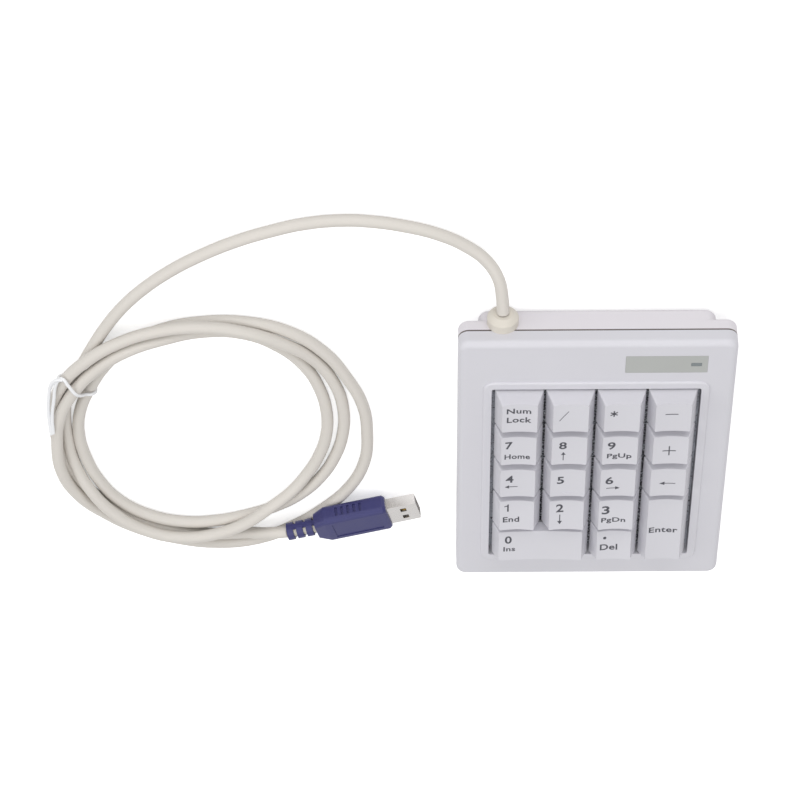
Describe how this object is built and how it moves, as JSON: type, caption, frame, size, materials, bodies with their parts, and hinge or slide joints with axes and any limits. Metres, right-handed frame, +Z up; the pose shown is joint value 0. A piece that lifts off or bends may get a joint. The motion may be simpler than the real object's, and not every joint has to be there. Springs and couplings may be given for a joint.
{
  "type": "numeric keypad",
  "caption": "Free-standing numeric keypad: sloping two-part case, sprung rubber-dome keys with level wires, and a tied, coiled lead with a flat plug.",
  "frame": {"origin": "on the table under the middle of the keypad, its lead and plug left out", "axes": "+X to the user's right, +Y to the rear edge where the lead leaves, +Z up"},
  "size_m": [0.2648, 0.1827, 0.0257],
  "materials": {
    "case_plastic": "fine satin texture",
    "tray_plastic": "fine satin texture",
    "key_plastic": "fine satin texture",
    "label": "flat printed film",
    "window": "ribbed tinted window",
    "lamp": "diffuse",
    "dark_plastic": "moulded",
    "dome_rubber": "silicone",
    "film": "printed polyester film",
    "steel": "zinc plated",
    "screw_steel": "zinc plated",
    "board": "solder mask over glass laminate",
    "chip": "moulded epoxy",
    "connector": "moulded nylon",
    "wire_sheath": "soft PVC",
    "feet_rubber": "matte rubber",
    "gland_rubber": "soft PVC",
    "cord_pvc": "smooth PVC jacket",
    "tie": "PVC-covered wire",
    "plug_plastic": "moulded PVC",
    "shell_metal": "nickel plated",
    "tongue": "moulded nylon",
    "gold": "gold flash"
  },
  "bodies": {
    "housing": {"top_case": "case_plastic", "bottom_tray": "tray_plastic", "indicator_plate": "label", "lamp_window": "window", "num_lock_lamp": "lamp", "guide_frame": "dark_plastic", "dome_sheet": "dome_rubber", "membrane_top": "film", "membrane_spacer": "film", "membrane_bottom": "film", "backing_plate": "steel", "plate_screws": "screw_steel", "case_screws": "screw_steel", "control_board": "board", "control_chip": "chip", "lead_connector": "connector", "lead_core": "wire_sheath", "tail_clamp": "steel", "clamp_screws": "screw_steel", "rubber_feet": "feet_rubber", "cable_gland": "gland_rubber", "cord_lead": "cord_pvc", "cord_coil": "cord_pvc", "cord_tail": "cord_pvc", "twist_tie": "tie", "plug_overmould": "plug_plastic", "plug_core": "cord_pvc", "plug_shell": "shell_metal", "plug_tongue": "tongue", "plug_contacts": "gold"},
    "key_num_lock": {"key_num_lock": "key_plastic"},
    "key_divide": {"key_divide": "key_plastic"},
    "key_multiply": {"key_multiply": "key_plastic"},
    "key_minus": {"key_minus": "key_plastic"},
    "key_7": {"key_7": "key_plastic"},
    "key_8": {"key_8": "key_plastic"},
    "key_9": {"key_9": "key_plastic"},
    "key_plus": {"key_plus": "key_plastic"},
    "key_4": {"key_4": "key_plastic"},
    "key_5": {"key_5": "key_plastic"},
    "key_6": {"key_6": "key_plastic"},
    "key_backspace": {"key_backspace": "key_plastic"},
    "key_1": {"key_1": "key_plastic"},
    "key_2": {"key_2": "key_plastic"},
    "key_3": {"key_3": "key_plastic"},
    "key_enter": {"key_enter": "key_plastic"},
    "key_0": {"key_0": "key_plastic"},
    "key_decimal": {"key_decimal": "key_plastic"},
    "stabiliser_0": {"stabiliser_0": "steel"},
    "stabiliser_enter": {"stabiliser_enter": "steel"}
  },
  "joints": [
    {"name": "key_num_lock_press", "type": "slide", "parent": "housing", "child": "key_num_lock", "axis": [0, 0.0419, -0.9991], "range_m": [0, 0.0035], "stiffness_N_per_m": 130, "springref_m": -0.0015, "deforming": ["dome_sheet"]},
    {"name": "key_divide_press", "type": "slide", "parent": "housing", "child": "key_divide", "axis": [0, 0.0419, -0.9991], "range_m": [0, 0.0035], "stiffness_N_per_m": 130, "springref_m": -0.0015, "deforming": ["dome_sheet"]},
    {"name": "key_multiply_press", "type": "slide", "parent": "housing", "child": "key_multiply", "axis": [0, 0.0419, -0.9991], "range_m": [0, 0.0035], "stiffness_N_per_m": 130, "springref_m": -0.0015, "deforming": ["dome_sheet"]},
    {"name": "key_minus_press", "type": "slide", "parent": "housing", "child": "key_minus", "axis": [0, 0.0419, -0.9991], "range_m": [0, 0.0035], "stiffness_N_per_m": 130, "springref_m": -0.0015, "deforming": ["dome_sheet"]},
    {"name": "key_7_press", "type": "slide", "parent": "housing", "child": "key_7", "axis": [0, 0.0419, -0.9991], "range_m": [0, 0.0035], "stiffness_N_per_m": 130, "springref_m": -0.0015, "deforming": ["dome_sheet"]},
    {"name": "key_8_press", "type": "slide", "parent": "housing", "child": "key_8", "axis": [0, 0.0419, -0.9991], "range_m": [0, 0.0035], "stiffness_N_per_m": 130, "springref_m": -0.0015, "deforming": ["dome_sheet"]},
    {"name": "key_9_press", "type": "slide", "parent": "housing", "child": "key_9", "axis": [0, 0.0419, -0.9991], "range_m": [0, 0.0035], "stiffness_N_per_m": 130, "springref_m": -0.0015, "deforming": ["dome_sheet"]},
    {"name": "key_plus_press", "type": "slide", "parent": "housing", "child": "key_plus", "axis": [0, 0.0419, -0.9991], "range_m": [0, 0.0035], "stiffness_N_per_m": 130, "springref_m": -0.0015, "deforming": ["dome_sheet"]},
    {"name": "key_4_press", "type": "slide", "parent": "housing", "child": "key_4", "axis": [0, 0.0419, -0.9991], "range_m": [0, 0.0035], "stiffness_N_per_m": 130, "springref_m": -0.0015, "deforming": ["dome_sheet"]},
    {"name": "key_5_press", "type": "slide", "parent": "housing", "child": "key_5", "axis": [0, 0.0419, -0.9991], "range_m": [0, 0.0035], "stiffness_N_per_m": 130, "springref_m": -0.0015, "deforming": ["dome_sheet"]},
    {"name": "key_6_press", "type": "slide", "parent": "housing", "child": "key_6", "axis": [0, 0.0419, -0.9991], "range_m": [0, 0.0035], "stiffness_N_per_m": 130, "springref_m": -0.0015, "deforming": ["dome_sheet"]},
    {"name": "key_backspace_press", "type": "slide", "parent": "housing", "child": "key_backspace", "axis": [0, 0.0419, -0.9991], "range_m": [0, 0.0035], "stiffness_N_per_m": 130, "springref_m": -0.0015, "deforming": ["dome_sheet"]},
    {"name": "key_1_press", "type": "slide", "parent": "housing", "child": "key_1", "axis": [0, 0.0419, -0.9991], "range_m": [0, 0.0035], "stiffness_N_per_m": 130, "springref_m": -0.0015, "deforming": ["dome_sheet"]},
    {"name": "key_2_press", "type": "slide", "parent": "housing", "child": "key_2", "axis": [0, 0.0419, -0.9991], "range_m": [0, 0.0035], "stiffness_N_per_m": 130, "springref_m": -0.0015, "deforming": ["dome_sheet"]},
    {"name": "key_3_press", "type": "slide", "parent": "housing", "child": "key_3", "axis": [0, 0.0419, -0.9991], "range_m": [0, 0.0035], "stiffness_N_per_m": 130, "springref_m": -0.0015, "deforming": ["dome_sheet"]},
    {"name": "key_enter_press", "type": "slide", "parent": "housing", "child": "key_enter", "axis": [0, 0.0419, -0.9991], "range_m": [0, 0.0035], "stiffness_N_per_m": 130, "springref_m": -0.0015, "deforming": ["dome_sheet"]},
    {"name": "key_0_press", "type": "slide", "parent": "housing", "child": "key_0", "axis": [0, 0.0419, -0.9991], "range_m": [0, 0.0035], "stiffness_N_per_m": 130, "springref_m": -0.0015, "deforming": ["dome_sheet"]},
    {"name": "key_decimal_press", "type": "slide", "parent": "housing", "child": "key_decimal", "axis": [0, 0.0419, -0.9991], "range_m": [0, 0.0035], "stiffness_N_per_m": 130, "springref_m": -0.0015, "deforming": ["dome_sheet"]},
    {"name": "stabiliser_0_swing", "type": "hinge", "parent": "housing", "child": "stabiliser_0", "pos_m": [-0.01905, -0.03738, 0.01193], "axis": [1, 0, 0], "range_deg": [0, 22.84]},
    {"name": "stabiliser_enter_swing", "type": "hinge", "parent": "housing", "child": "stabiliser_enter", "pos_m": [0.02247, -0.03395, 0.01207], "axis": [0, 0.9991, 0.0419], "range_deg": [0, 22.84]}
  ],
  "couplings": [
    {"joint": "stabiliser_0_swing", "follows": "key_0_press", "rad_per_m": 112.39},
    {"joint": "stabiliser_enter_swing", "follows": "key_enter_press", "rad_per_m": 112.39}
  ]
}
